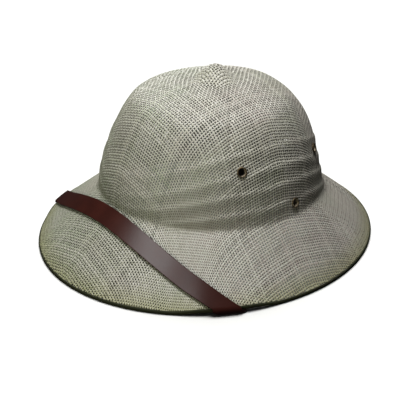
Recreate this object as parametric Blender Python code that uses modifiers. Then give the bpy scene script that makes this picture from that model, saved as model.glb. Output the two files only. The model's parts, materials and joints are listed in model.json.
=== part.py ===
"""Woven straw sun helmet: blocked crown and brim in one shell, edge binding, chin strap and vent eyelets.

Metres, +Z up. The origin is on the floor under the middle of the brim. The front is -Y, the wearer's left is +X.
An azimuth is counted from the front, and is positive towards the wearer's left.
"""
import bpy
import bmesh
import math
from mathutils import Vector
from mathutils.bvhtree import BVHTree

MM = 0.001

# Brim
BRIM_HALF_LENGTH = 161.0 * MM
BRIM_HALF_WIDTH = 149.0 * MM
EDGE_HEIGHT = 3.5 * MM
BRIM_BULGE = 0.6 * MM
WALL = 2.0 * MM

# Crown
CROWN_HALF_LENGTH = 108.5 * MM
CROWN_HALF_WIDTH = 99.5 * MM
CROWN_SET_BACK = 7.0 * MM
CREASE_HEIGHT = 47.0 * MM
CREASE_FRONT_RISE = 5.5 * MM
CREASE_REAR_FALL = 8.0 * MM
CREASE_FILLET = 3.2 * MM
CROWN_RISE = 101.0 * MM

# Rows of the crown's section: share of the rise, then the radius shares at the front, the side and the rear.
CROWN_SECTION = [
    {"height": 1.000, "front": 0.000, "side": 0.000, "rear": 0.000},
    {"height": 0.985, "front": 0.345, "side": 0.355, "rear": 0.355},
    {"height": 0.950, "front": 0.460, "side": 0.462, "rear": 0.505},
    {"height": 0.880, "front": 0.650, "side": 0.672, "rear": 0.622},
    {"height": 0.780, "front": 0.745, "side": 0.760, "rear": 0.725},
    {"height": 0.640, "front": 0.825, "side": 0.830, "rear": 0.825},
    {"height": 0.480, "front": 0.890, "side": 0.895, "rear": 0.885},
    {"height": 0.300, "front": 0.955, "side": 0.945, "rear": 0.925},
    {"height": 0.120, "front": 0.995, "side": 0.980, "rear": 0.970},
    {"height": 0.000, "front": 1.000, "side": 1.000, "rear": 1.000},
]

# Knob at the top: a flat cap on a steep flank. The crown's middle leans back to it.
KNOB_HEIGHT = 13.5 * MM
KNOB_RADIUS = 12.8 * MM
KNOB_SQUARENESS = 4.5
KNOB_SET_BACK = 10.0 * MM

# Moulded ridges that run round the crown: crest at the side as a share of the rise, and share of the full droop.
RIDGES = [
    {"crest": 0.628, "droop": 1.00},
    {"crest": 0.468, "droop": 1.05},
    {"crest": 0.309, "droop": 0.89},
    {"crest": 0.142, "droop": 0.70},
]
RIDGE_RELIEF = 1.5 * MM
RIDGE_STEP = 4.0 * MM
RIDGE_RUN_OUT = 9.0 * MM
RIDGE_DROOP = 27.0 * MM
RIDGE_FRONT_POWER = 3.2
RIDGE_REAR_POWER = 1.9
RIDGE_FRONT_FADE = 0.7

# Shallow crease down each side of the crown
SEAM_AZIMUTH = 63.0
SEAM_LEAN = 8.0
SEAM_DEPTH = 0.8 * MM
SEAM_WIDTH = 2.5 * MM
SEAM_LOW = 0.66
SEAM_HIGH = 0.985

# Edge binding
BINDING_THICKNESS = 0.8 * MM
BINDING_FOOT = 3.0 * MM
BINDING_SHOULDER = 0.5 * MM

# Chin strap
STRAP_WIDTH = 16.5 * MM
STRAP_THICKNESS = 2.0 * MM
STRAP_STAND_OFF = 0.9 * MM
STRAP_AZIMUTH = 59.5
STRAP_SWEEP = 2.3
STRAP_TILT = 33.0
STRAP_SLANT = 2.6
STRAP_GAP = 0.4 * MM
STRAP_FLOOR_GAP = 0.15 * MM
# The hidden stretch under the brim: azimuth, and share of the way from the crown out to the brim's edge.
STRAP_RETURN = [
    {"azimuth": 50.0, "out": 1.33},
    {"azimuth": 62.0, "out": 1.00},
    {"azimuth": 75.0, "out": 0.66},
    {"azimuth": 90.0, "out": 0.49},
    {"azimuth": 105.0, "out": 0.39},
    {"azimuth": 120.0, "out": 0.34},
    {"azimuth": 140.0, "out": 0.32},
    {"azimuth": 180.0, "out": 0.32},
]
LIFT_FLAT = 7.0
LIFT_RUN_OUT = 11.0

# Vent eyelets: azimuth and share of the rise
EYELETS = [
    {"name": "front", "azimuth": 68.7, "height": 0.49},
    {"name": "low", "azimuth": 98.6, "height": 0.106},
    {"name": "rear", "azimuth": 127.5, "height": 0.43},
]
EYELET_RADIUS = 4.75 * MM
EYELET_BORE = 3.0 * MM
EYELET_SLEEVE = 0.5 * MM
EYELET_LIP = 0.8 * MM
EYELET_SEAT = 0.45 * MM
EYELET_PAD = 10.0 * MM

GAP = 0.3 * MM

# How finely the shell is divided
COLUMN_STEP = 180.0 / 27
SEAM_SIDE = 2.0
KNOB_ROWS = [0.05, 0.085, 0.112, 0.138, 0.175]
TOP_ROWS = [0.985, 0.96, 0.925, 0.88, 0.82, 0.76, 0.71]
RIDGE_ROWS = [-1.0, 0.0, 0.45, 1.0]
FILLET_ROWS = [0.0, 0.35, 0.65, 1.0]
BRIM_ROWS = [0.28, 0.52, 0.76, 1.0]
LEAST_ROW = 1.0 * MM
STRAP_TOP_STEPS = 15
STRAP_RETURN_STEPS = 22
EYELET_STEPS = 16


def new_collection(name):
    """A collection linked to the scene."""
    collection = bpy.data.collections.new(name)
    bpy.context.scene.collection.children.link(collection)
    return collection


def new_material(name, colour, roughness, metallic=0.0):
    """A plain Principled material."""
    material = bpy.data.materials.new(name)
    material.use_nodes = True
    shader = material.node_tree.nodes["Principled BSDF"]
    shader.inputs["Base Color"].default_value = (*colour, 1.0)
    shader.inputs["Roughness"].default_value = roughness
    shader.inputs["Metallic"].default_value = metallic
    material.diffuse_color = (*colour, 1.0)
    return material


def new_object(name, mesh, collection, material=None):
    """An object for a mesh, in a collection."""
    obj = bpy.data.objects.new(name, mesh)
    collection.objects.link(obj)
    if material:
        obj.data.materials.append(material)
    return obj


def smooth(mesh):
    """Shades a mesh smooth, with its corners kept sharp."""
    mesh.shade_smooth()
    mesh.set_sharp_from_angle(angle=math.radians(40))


def smoothstep(x):
    """0 below 0, 1 above 1, and a smooth rise between."""
    x = min(1.0, max(0.0, x))
    return x * x * (3 - 2 * x)


def through(points, x):
    """The height at x of a smooth curve through (x, height) points."""
    last = len(points) - 1
    k = 0
    while k < last - 1 and x > points[k + 1][0]:
        k += 1
    (x0, y0), (x1, y1) = points[k], points[k + 1]
    slope = (y1 - y0) / (x1 - x0)
    before = (y0 - points[k - 1][1]) / (x0 - points[k - 1][0]) if k > 0 else slope
    after = (points[k + 2][1] - y1) / (points[k + 2][0] - x1) if k + 1 < last else slope
    m0 = (before + slope) / 2 * (x1 - x0)
    m1 = (after + slope) / 2 * (x1 - x0)
    t = min(1.0, max(0.0, (x - x0) / (x1 - x0)))
    return (y0 * (1 + 2 * t) + m0 * t) * (1 - t) ** 2 + (y1 * (3 - 2 * t) - m1 * (1 - t)) * t * t


# The crown's surface. Its height share falls from 1 at the top to 0 at the crease.

def section_curve(side):
    """The section as (root of the fall, radius share), which is smooth over the top."""
    return [(math.sqrt(1 - row["height"]), row[side]) for row in CROWN_SECTION]


SECTION = {side: section_curve(side) for side in ("front", "side", "rear")}


def radius_share(height, azimuth):
    """The crown's radius share at a height share, blended from front to side to rear."""
    fall = math.sqrt(max(0.0, 1 - height))
    lengthwise = math.cos(azimuth) ** 2
    end = "front" if math.cos(azimuth) > 0 else "rear"
    return lengthwise * through(SECTION[end], fall) + (1 - lengthwise) * through(SECTION["side"], fall)


def crease_height(azimuth):
    """Height of the corner between crown and brim."""
    lengthwise = math.cos(azimuth)
    change = CREASE_FRONT_RISE if lengthwise > 0 else -CREASE_REAR_FALL
    return CREASE_HEIGHT + change * lengthwise ** 2


def plain_crown(azimuth, height):
    """A point of the crown without ridges or creases."""
    share = radius_share(height, azimuth)
    lean = math.radians(SEAM_LEAN) * (1 / max(share, 0.34) - 1) * math.sin(azimuth) * abs(math.sin(azimuth))
    turned = azimuth + lean
    set_back = CROWN_SET_BACK + (KNOB_SET_BACK - CROWN_SET_BACK) * (1 - share) ** 2
    x = CROWN_HALF_WIDTH * share * math.sin(turned)
    y = set_back - CROWN_HALF_LENGTH * share * math.cos(turned)
    base = CREASE_HEIGHT + (crease_height(azimuth) - CREASE_HEIGHT) * (1 - height) * share
    knob = KNOB_HEIGHT * math.exp(-(math.hypot(x, y - KNOB_SET_BACK) / KNOB_RADIUS) ** KNOB_SQUARENESS)
    return Vector((x, y, base + CROWN_RISE * height + knob))


def crown_normal(azimuth, height):
    """The outward direction there."""
    step = 0.01
    high = min(1.0, height + step)
    low = max(0.0, height - step)
    down = plain_crown(azimuth, low) - plain_crown(azimuth, high)
    across = plain_crown(azimuth + step, height) - plain_crown(azimuth - step, height)
    return down.cross(across).normalized()


def droop(azimuth):
    """How far the ridges sink towards the front and the rear, as a share of the rise."""
    lengthwise = abs(math.cos(azimuth))
    power = RIDGE_FRONT_POWER if math.cos(azimuth) > 0 else RIDGE_REAR_POWER
    return RIDGE_DROOP / CROWN_RISE * lengthwise ** power


DROOP_SHARES = [(0.0, 0.0)] + [(ridge["crest"], ridge["droop"]) for ridge in reversed(RIDGES)] + [(0.95, 0.0)]


def drooped(height, azimuth):
    """The height share of a row that lies at the given share at the side."""
    return height - droop(azimuth) * through(DROOP_SHARES, min(height, DROOP_SHARES[-1][0]))


def eyelet_places():
    """Every eyelet: its name, azimuth in radians and height share, the left ones first."""
    return [
        (f"eyelet_{side}_{row['name']}", sign * math.radians(row["azimuth"]), row["height"])
        for side, sign in (("left", 1), ("right", -1))
        for row in EYELETS
    ]


PADS = [plain_crown(azimuth, height) for _, azimuth, height in eyelet_places()]


def relief(azimuth, height, point):
    """How far the ridges stand out, less the crease down the side."""
    out = 0.0
    for ridge in RIDGES:
        below = (drooped(ridge["crest"], azimuth) - height) * CROWN_RISE
        reach = RIDGE_RUN_OUT if below > 0 else RIDGE_STEP
        out = max(out, RIDGE_RELIEF * (1 - smoothstep(abs(below) / reach)))
    if math.cos(azimuth) > 0:
        out *= 1 - RIDGE_FRONT_FADE * math.cos(azimuth) ** 6
    nearest = min((point - pad).length for pad in PADS)
    out *= smoothstep(nearest / EYELET_PAD - EYELET_RADIUS / EYELET_PAD)
    off_seam = math.radians(math.degrees(abs(azimuth)) - SEAM_AZIMUTH) * math.hypot(point.x, point.y)
    along = smoothstep((height - SEAM_LOW) * 20) * smoothstep((SEAM_HIGH - height) * 40)
    return out - SEAM_DEPTH * along * math.exp(-(off_seam / SEAM_WIDTH) ** 2)


def crown_point(azimuth, height):
    """A point of the finished crown."""
    point = plain_crown(azimuth, height)
    return point + relief(azimuth, height, point) * crown_normal(azimuth, height)


# The brim's surface. Its share runs from 0 at the crease's corner to 1 at the edge.

def rim_lift(azimuth):
    """How far the edge rises over the strap that is folded under it."""
    centre = STRAP_AZIMUTH + STRAP_SLANT / 2
    off = abs(abs(math.degrees(azimuth)) - centre) - LIFT_FLAT
    full = STRAP_THICKNESS + STRAP_GAP + STRAP_FLOOR_GAP
    return full * (1 - smoothstep(off / LIFT_RUN_OUT))


def brim_plan(azimuth, share):
    """The plan position on the brim."""
    inner = Vector((CROWN_HALF_WIDTH * math.sin(azimuth), CROWN_SET_BACK - CROWN_HALF_LENGTH * math.cos(azimuth)))
    outer = Vector((BRIM_HALF_WIDTH * math.sin(azimuth), -BRIM_HALF_LENGTH * math.cos(azimuth)))
    return inner.lerp(outer, share)


def brim_point(azimuth, share):
    """A point of the brim's outer side."""
    x, y = brim_plan(azimuth, share)
    straight = crease_height(azimuth) * (1 - share) + EDGE_HEIGHT * share
    bulge = BRIM_BULGE * 4 * share * (1 - share)
    return Vector((x, y, straight + bulge + rim_lift(azimuth) * share ** 2))


def fillet_point(azimuth, share):
    """A point of the rounding between crown and brim, from 0 on the crown to 1 on the brim."""
    top = crown_point(azimuth, CREASE_FILLET / CROWN_RISE)
    corner = brim_point(azimuth, 0)
    out = CREASE_FILLET / (brim_point(azimuth, 1) - corner).length
    bottom = brim_point(azimuth, out)
    return top.lerp(corner, share).lerp(corner.lerp(bottom, share), share)


def brim_start(azimuth):
    """The share at which the rounding ends."""
    return CREASE_FILLET / (brim_point(azimuth, 1) - brim_point(azimuth, 0)).length


def azimuth_columns():
    """Azimuths of the shell's columns in radians, with a close trio down each side crease."""
    half = [k * COLUMN_STEP for k in range(round(180 / COLUMN_STEP) + 1)]
    half = [a for a in half if abs(a - SEAM_AZIMUTH) > COLUMN_STEP * 0.6]
    half += [SEAM_AZIMUTH - SEAM_SIDE, SEAM_AZIMUTH, SEAM_AZIMUTH + SEAM_SIDE]
    half.sort()
    mirrored = [-a for a in reversed(half) if 0 < a < 180]
    return [math.radians(a) for a in mirrored + half]


def crown_rows():
    """Height shares at the side of the crown's rows, top to bottom, below the knob's rows."""
    rows = list(TOP_ROWS)
    for ridge in RIDGES:
        for step in RIDGE_ROWS:
            reach = RIDGE_RUN_OUT if step > 0 else RIDGE_STEP
            rows.append(ridge["crest"] - step * reach / CROWN_RISE)
    rows.sort(reverse=True)
    apart = [rows[0]]
    for row in rows[1:]:
        if (apart[-1] - row) * CROWN_RISE >= LEAST_ROW:
            apart.append(row)
    return apart


def knob_height_share(radius):
    """The height share at which the plain crown has a given radius share near the top."""
    first = SECTION["side"][1]
    return 1 - (radius / first[1] * first[0]) ** 2


def shell_rows(azimuth):
    """One column of the shell, from under the top to the brim's edge. Rows that droop to the foot close up there."""
    column = [crown_point(azimuth, knob_height_share(radius)) for radius in KNOB_ROWS]
    rows = crown_rows()
    for k, height in enumerate(rows):
        lowest = (CREASE_FILLET + LEAST_ROW * (len(rows) - k)) / CROWN_RISE
        column.append(crown_point(azimuth, max(lowest, drooped(height, azimuth))))
    column += [fillet_point(azimuth, share) for share in FILLET_ROWS]
    start = brim_start(azimuth)
    column += [brim_point(azimuth, start + (1 - start) * share) for share in BRIM_ROWS]
    return column


def make_shell(collection, material):
    """Crown and brim: one open outer surface, given its wall by Solidify."""
    mesh = bmesh.new()
    top = mesh.verts.new(crown_point(0.0, 1.0))
    columns = [[mesh.verts.new(point) for point in shell_rows(a)] for a in azimuth_columns()]
    for left, right in zip(columns, columns[1:] + columns[:1]):
        mesh.faces.new((top, left[0], right[0]))
        for k in range(len(left) - 1):
            mesh.faces.new((left[k], left[k + 1], right[k + 1], right[k]))
    data = bpy.data.meshes.new("straw_shell")
    mesh.to_mesh(data)
    mesh.free()
    smooth(data)
    shell = new_object("straw_shell", data, collection, material)
    wall = shell.modifiers.new("wall", "SOLIDIFY")
    wall.thickness = WALL
    wall.offset = -1.0
    wall.use_even_offset = True
    return shell


def edge_frame(azimuth):
    """The brim's edge: its point, the direction down the brim, the outward normal, and straight outwards."""
    step = 0.01
    point = brim_point(azimuth, 1.0)
    around = (brim_point(azimuth + step, 1.0) - brim_point(azimuth - step, 1.0)).normalized()
    down = point - brim_point(azimuth, 0.92)
    down = (down - around * down.dot(around)).normalized()
    normal = around.cross(down).normalized()
    if normal.z < 0:
        normal = -normal
    outward = Vector((down.x, down.y, 0)).normalized()
    return point, down, normal, outward


def binding_section(azimuth):
    """The binding's section: its top corners against the shell's cut edge, and its foot on the floor."""
    point, down, normal, outward = edge_frame(azimuth)
    upper = point + down * GAP
    lower = point - normal * WALL + down * GAP
    foot = rim_lift(azimuth)
    shoulder = upper + outward * BINDING_THICKNESS
    shoulder.z -= BINDING_SHOULDER
    outer = Vector((shoulder.x, shoulder.y, foot))
    inner = outer - outward * BINDING_FOOT
    return [upper, shoulder, outer, inner, lower]


def make_binding(collection, material):
    """The dark binding round the brim's edge."""
    mesh = bmesh.new()
    rings = [[mesh.verts.new(point) for point in binding_section(a)] for a in azimuth_columns()]
    for left, right in zip(rings, rings[1:] + rings[:1]):
        for k in range(len(left)):
            m = (k + 1) % len(left)
            mesh.faces.new((left[k], left[m], right[m], right[k]))
    data = bpy.data.meshes.new("brim_binding")
    mesh.to_mesh(data)
    mesh.free()
    smooth(data)
    return new_object("brim_binding", data, collection, material)


# The chin strap. Each cross line of it has three points: -1 nearest the crown on top, 0 and +1.

STRAP_HALF_PLAN = STRAP_WIDTH / 2 * math.cos(math.radians(STRAP_TILT))


def plan_offset(run, place, side):
    """A point beside a plan run: side is -1, 0 or +1 half widths to the right of the way it goes."""
    step = 1e-4
    ahead = run(place + step) - run(place - step)
    right = Vector((ahead.y, -ahead.x)).normalized()
    return run(place) + right * side * STRAP_HALF_PLAN


def over_run(place):
    """The middle of the strap over the brim, in plan: 0 at the front, 1 at the edge."""
    start = CROWN_SET_BACK - CROWN_HALF_LENGTH - STRAP_STAND_OFF - STRAP_HALF_PLAN
    end = brim_plan(math.radians(STRAP_AZIMUTH), 1.0)
    return Vector((end.x * place, start + (end.y - start) * abs(place) ** STRAP_SWEEP))


RETURN_CURVE = [(row["azimuth"], row["out"]) for row in STRAP_RETURN]


def under_run(place):
    """The middle of the strap under the brim, in plan: 0 before the edge, 1 at the rear."""
    first, last = RETURN_CURVE[0][0], RETURN_CURVE[-1][0]
    azimuth = first + (last - first) * place
    out = through(RETURN_CURVE, min(azimuth, 2 * last - azimuth))
    return brim_plan(math.radians(azimuth), out)


def crossing(run, side, near, far, inset):
    """Where the edge of a run, between two places, passes the brim's edge less an inset."""
    def outside(place):
        x, y = plan_offset(run, place, side)
        return math.hypot(x / (BRIM_HALF_WIDTH - inset), y / (BRIM_HALF_LENGTH - inset)) - 1
    for _ in range(40):
        middle = (near + far) / 2
        if outside(near) * outside(middle) <= 0:
            far = middle
        else:
            near = middle
    return near


def rim_azimuth(plan):
    """The azimuth whose column ends at a plan point of the edge."""
    return math.atan2(plan.x / BRIM_HALF_WIDTH, -plan.y / BRIM_HALF_LENGTH)


def fold_points(azimuth):
    """The strap's inner side round the binding at one azimuth, from the top of the brim to under it."""
    point, down, normal, outward = edge_frame(azimuth)
    slant = math.radians(STRAP_SLANT) / 3
    _, shoulder, outer, _, _ = binding_section(azimuth + slant)
    _, _, low_outer, low_inner, _ = binding_section(azimuth + 3 * slant)
    up = Vector((0, 0, 1))
    half = math.sqrt(0.5)
    return [
        point + normal * STRAP_GAP,
        shoulder + (outward + up) * half * STRAP_GAP,
        shoulder.lerp(outer, 0.45) + outward * STRAP_GAP,
        low_outer + (outward - up) * half * STRAP_GAP,
        low_inner - up * STRAP_GAP,
    ]


def make_strap(shell, collection, material):
    """The strap: a closed strip laid on the shell by dropping points on it, given its thickness by Solidify."""
    bpy.context.view_layer.update()
    tree = BVHTree.FromObject(shell, bpy.context.evaluated_depsgraph_get())
    high = 2 * (CREASE_HEIGHT + CROWN_RISE)
    down, up = Vector((0, 0, -1)), Vector((0, 0, 1))

    def laid(plan, start, way):
        place, normal, _, _ = tree.ray_cast(Vector((plan.x, plan.y, start)), way)
        return place + normal * STRAP_GAP

    lines = []
    for side in (-1, 0, 1):
        top_end = crossing(over_run, side, 0.6, 1.3, EDGE_HEIGHT * 0.5)
        line = []
        for k in range(STRAP_TOP_STEPS + 1):
            line.append(laid(plan_offset(over_run, top_end * k / STRAP_TOP_STEPS, side), high, down))
        rim = crossing(over_run, side, 0.6, 1.3, 0.0)
        azimuth = rim_azimuth(plan_offset(over_run, rim, side))
        line += fold_points(azimuth)
        inset = BINDING_FOOT + STRAP_WIDTH * 0.1
        begin = crossing(under_run, -side, 0.0, 0.4, inset)
        for k in range(STRAP_RETURN_STEPS + 1):
            place = begin + (1 - begin) * k / STRAP_RETURN_STEPS
            line.append(laid(plan_offset(under_run, place, -side), -high, up))
        line[0].x = 0.0
        line[-1].x = 0.0
        lines.append(line)

    mesh = bmesh.new()
    verts = [[mesh.verts.new(point) for point in line] for line in lines]
    for inner, outer in zip(verts, verts[1:]):
        for k in range(len(inner) - 1):
            mesh.faces.new((inner[k], outer[k], outer[k + 1], inner[k + 1]))
    data = bpy.data.meshes.new("chin_strap")
    mesh.to_mesh(data)
    mesh.free()
    smooth(data)
    strap = new_object("chin_strap", data, collection, material)
    mirror = strap.modifiers.new("other half", "MIRROR")
    mirror.merge_threshold = 0.00005
    leather = strap.modifiers.new("thickness", "SOLIDIFY")
    leather.thickness = STRAP_THICKNESS
    leather.offset = 1.0
    return strap


def eyelet_mesh():
    """A turned eyelet: a lip on the straw, a sleeve through it and a rolled lip inside."""
    sleeve = EYELET_BORE + EYELET_SLEEVE
    seat = EYELET_SEAT
    back = -(WALL + EYELET_SEAT)
    inner_lip = EYELET_RADIUS - EYELET_SLEEVE
    profile = [
        (EYELET_BORE + EYELET_SLEEVE * 0.4, seat + EYELET_LIP),
        (EYELET_RADIUS - EYELET_LIP * 0.7, seat + EYELET_LIP),
        (EYELET_RADIUS, seat),
        (sleeve, seat),
        (sleeve, back),
        (inner_lip, back),
        (inner_lip, back - EYELET_LIP),
        (EYELET_BORE, back - EYELET_LIP),
    ]
    data = bpy.data.meshes.new("eyelet")
    count = len(profile)
    data.from_pydata([(r, 0, z) for r, z in profile], [(k, (k + 1) % count) for k in range(count)], [])
    return data


def add_eyelet(name, azimuth, height, parts, cutters, shell, material):
    """One eyelet set into its own hole in the shell."""
    normal = crown_normal(azimuth, height)
    turn = normal.to_track_quat("Z", "Y")
    place = crown_point(azimuth, height)
    eyelet = new_object(name, eyelet_mesh(), parts, material)
    eyelet.location = place
    eyelet.rotation_mode = "QUATERNION"
    eyelet.rotation_quaternion = turn
    spin = eyelet.modifiers.new("turned", "SCREW")
    spin.axis = "Z"
    spin.steps = EYELET_STEPS
    spin.render_steps = EYELET_STEPS
    spin.use_merge_vertices = True
    spin.merge_threshold = 0.00001
    spin.use_smooth_shade = True

    mesh = bmesh.new()
    reach = 6 * WALL
    radius = EYELET_BORE + EYELET_SLEEVE + GAP
    bmesh.ops.create_cone(mesh, cap_ends=True, segments=EYELET_STEPS, radius1=radius, radius2=radius, depth=reach)
    data = bpy.data.meshes.new(f"hole_{name}")
    mesh.to_mesh(data)
    mesh.free()
    cutter = new_object(f"hole_{name}", data, cutters)
    cutter.location = place
    cutter.rotation_mode = "QUATERNION"
    cutter.rotation_quaternion = turn
    cutter.hide_render = True
    cutter.display_type = "WIRE"
    cut = shell.modifiers.new(f"hole_{name}", "BOOLEAN")
    cut.operation = "DIFFERENCE"
    cut.solver = "EXACT"
    cut.object = cutter
    return eyelet


for old in list(bpy.data.objects):
    bpy.data.objects.remove(old, do_unlink=True)

hat = new_collection("straw_jungle_hat")
cutters = new_collection("cutters")
straw = new_material("woven_straw", (0.40, 0.39, 0.27), 0.75)
tape = new_material("binding_tape", (0.022, 0.025, 0.012), 0.7)
leather = new_material("strap_leather", (0.055, 0.014, 0.011), 0.42)
brass = new_material("eyelet_brass", (0.10, 0.065, 0.03), 0.4, 0.9)

shell = make_shell(hat, straw)
make_binding(hat, tape)
make_strap(shell, hat, leather)
for name, azimuth, height in eyelet_places():
    add_eyelet(name, azimuth, height, hat, cutters, shell, brass)
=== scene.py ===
"""Looks of the woven straw sun helmet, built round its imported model.

Metres, +Z up. The origin is on the floor under the middle of the brim. The front is -Y, the wearer's left is +X.
An azimuth is counted from the front, in radians, and is positive towards the wearer's left.
"""
import json
import math
import bpy
import numpy as np
from mathutils import Matrix, Vector
from mathutils.bvhtree import BVHTree

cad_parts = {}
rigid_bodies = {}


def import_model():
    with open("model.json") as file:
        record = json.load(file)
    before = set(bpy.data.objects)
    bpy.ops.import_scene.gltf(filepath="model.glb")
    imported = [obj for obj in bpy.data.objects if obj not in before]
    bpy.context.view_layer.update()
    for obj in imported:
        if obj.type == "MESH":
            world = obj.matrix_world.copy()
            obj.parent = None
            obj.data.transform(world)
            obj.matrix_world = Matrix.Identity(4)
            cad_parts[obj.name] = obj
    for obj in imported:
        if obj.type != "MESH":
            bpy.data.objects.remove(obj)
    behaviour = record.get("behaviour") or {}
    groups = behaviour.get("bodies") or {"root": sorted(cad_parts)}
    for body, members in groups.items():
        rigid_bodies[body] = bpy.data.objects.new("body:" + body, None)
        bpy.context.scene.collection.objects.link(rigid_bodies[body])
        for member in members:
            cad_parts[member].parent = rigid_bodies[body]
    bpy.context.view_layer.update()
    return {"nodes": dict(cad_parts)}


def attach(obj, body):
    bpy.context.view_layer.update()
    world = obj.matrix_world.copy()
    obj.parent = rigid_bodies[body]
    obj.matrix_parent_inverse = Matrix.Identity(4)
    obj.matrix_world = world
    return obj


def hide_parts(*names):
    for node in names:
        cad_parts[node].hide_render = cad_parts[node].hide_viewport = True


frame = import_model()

scene = bpy.context.scene


# Camera
# The hat is seen from above, from between its front and the wearer's left, and fills most of a square frame.
IMAGE_SIZE = 416
CAMERA_AZIMUTH = math.radians(52.0)
CAMERA_ELEVATION = math.radians(28.63)
CAMERA_DISTANCE = 1.0
PIXELS_PER_METRE = 1043.0
ORIGIN_PIXEL = (206.44, 226.5)


def direction(azimuth, elevation):
    """The unit vector that points from the origin to an azimuth and elevation."""
    level = math.cos(elevation)
    return Vector((math.sin(azimuth) * level, -math.cos(azimuth) * level, math.sin(elevation)))


def aim(obj, towards):
    """Turns a camera or a light so that it looks along a direction."""
    obj.rotation_mode = "QUATERNION"
    obj.rotation_quaternion = towards.to_track_quat("-Z", "Y")


camera = bpy.data.objects.new("camera", bpy.data.cameras.new("camera"))
scene.collection.objects.link(camera)
scene.camera = camera
camera.location = direction(CAMERA_AZIMUTH, CAMERA_ELEVATION) * CAMERA_DISTANCE
aim(camera, -camera.location)
camera.data.lens = camera.data.sensor_width * PIXELS_PER_METRE * CAMERA_DISTANCE / IMAGE_SIZE
camera.data.shift_x = 0.5 - ORIGIN_PIXEL[0] / IMAGE_SIZE
camera.data.shift_y = ORIGIN_PIXEL[1] / IMAGE_SIZE - 0.5
camera.data.clip_start = 0.05
scene.view_settings.view_transform = "Standard"


# Woven straw shell
# Crown and brim are one sheet of plain-woven straw. It was wetted, sized and blocked over a form with the threads
# lengthwise and crosswise, so the weave stays square over the top and shears towards the quarters of the brim.
MM = 0.001
BRIM_HALF_LENGTH = 161.0 * MM
BRIM_HALF_WIDTH = 149.0 * MM
EDGE_HEIGHT = 3.5 * MM
BRIM_BULGE = 0.6 * MM
WALL = 2.0 * MM
CROWN_HALF_LENGTH = 108.5 * MM
CROWN_HALF_WIDTH = 99.5 * MM
CROWN_SET_BACK = 7.0 * MM
CREASE_HEIGHT = 47.0 * MM
CREASE_FRONT_RISE = 5.5 * MM
CREASE_REAR_FALL = 8.0 * MM
CREASE_FILLET = 2.2 * MM
CROWN_RISE = 101.0 * MM
# Rows of the crown's section: share of the rise, then the radius shares at the front, the side and the rear.
CROWN_SECTION = {
    "height": [1.000, 0.985, 0.950, 0.880, 0.780, 0.640, 0.480, 0.300, 0.120, 0.000],
    "front": [0.000, 0.345, 0.460, 0.650, 0.745, 0.825, 0.890, 0.955, 0.995, 1.000],
    "side": [0.000, 0.355, 0.462, 0.672, 0.760, 0.830, 0.895, 0.945, 0.980, 1.000],
    "rear": [0.000, 0.355, 0.505, 0.622, 0.725, 0.825, 0.885, 0.925, 0.970, 1.000],
}
# The knob pressed up in the top, and the softer swell over which the weave is laid out before it.
KNOB_HEIGHT = 13.0 * MM
KNOB_RADIUS = 14.8 * MM
KNOB_SQUARENESS = 2.8
KNOB_SET_BACK = 10.0 * MM
SWELL_HEIGHT = 9.0 * MM
SWELL_RADIUS = 14.0 * MM
# Four moulded ridges round the crown: where each crest passes the side, as a share of the rise, and how much of
# RIDGE_DROOP it falls by at the front and the rear. A ridge is steep above its crest and runs out slowly below it.
RIDGES = [
    {"crest": 0.628, "droop": 1.00},
    {"crest": 0.468, "droop": 1.05},
    {"crest": 0.309, "droop": 0.89},
    {"crest": 0.142, "droop": 0.70},
]
RIDGE_RELIEF = 0.8 * MM
RIDGE_STEP = 4.0 * MM
RIDGE_RUN_OUT = 9.0 * MM
RIDGE_DROOP = 27.0 * MM
RIDGE_FRONT_POWER = 3.2
RIDGE_REAR_POWER = 1.9
RIDGE_FRONT_FADE = 0.7
RIDGE_FADE_POWER = 6
# The groove pressed down each side. It runs between two shares of the rise, fades out over two more, and leans more
# the narrower the crown, down to a radius share.
SEAM_AZIMUTH = math.radians(63.0)
SEAM_LEAN = math.radians(8.0)
SEAM_LEAN_END = 0.34
SEAM_DEPTH = 1.2 * MM
SEAM_WIDTH = 1.8 * MM
SEAM_LOW = 0.66
SEAM_LOW_FADE = 0.05
SEAM_HIGH = 0.985
SEAM_HIGH_FADE = 0.025
# The edge's rise over the strap's two folds.
LIFT_AZIMUTH = math.radians(60.8)
LIFT_FLAT = math.radians(7.0)
LIFT_RUN_OUT = math.radians(11.0)
LIFT_HEIGHT = 2.55 * MM
EYELET_RADIUS = 4.75 * MM
EYELET_PAD = 10.0 * MM
EYELET_NAMES = [f"{side}_{place}" for side in ("left", "right") for place in ("front", "low", "rear")]

# How far out on the sheet: 0 is the top, 1 the crown's foot, FOOT_END the end of its rounding and BRIM_END the brim's
# edge. The sheet is worked out a little past that edge, so that the threads can be cut off on it.
FOOT_END = 1.08
BRIM_END = 2.0
SHEET_END = 2.1
SHEET_MARGIN = 0.01
SHEET_COLUMNS = 720
SHEET_ROWS = 840

# The weave. A thread waves up and down about a middle line that lies THREAD_DEPTH under the outer face. Where the sheet
# is stretched it is pressed wider, up to THREAD_CROWDING of its room. Its fibres start anywhere in FIBRE_SUPPLY metres
# of their pattern.
THREAD_PITCH = 2.55 * MM
THREAD_WIDTH = 1.7 * MM
THREAD_THICKNESS = 0.6 * MM
THREAD_WAVE = 0.28 * MM
THREAD_DEPTH = 0.62 * MM
THREAD_CROWDING = 0.93
THREAD_UNEVENNESS = 0.13
THREAD_FLATTENING = 5
THREAD_SEED = 7
FIBRE_SUPPLY = 50.0
# Where the knob stretches the sheet, a thread gets more steps between its crossings.
KNOB_REACH = 0.12
KNOB_STEPS = (0.125, 0.25, 0.375, 0.625, 0.75, 0.875)
# A thread's cross-section, as shares of its half width and half thickness: flat above, with low flanks that reach
# into the gaps, where the straw's colour paints them nearly black as shade.
THREAD_SECTION = np.array([(1, -0.6), (0.55, 1), (-0.55, 1), (-1, -0.6)])
EYELET_CUT = 3.9 * MM
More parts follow.
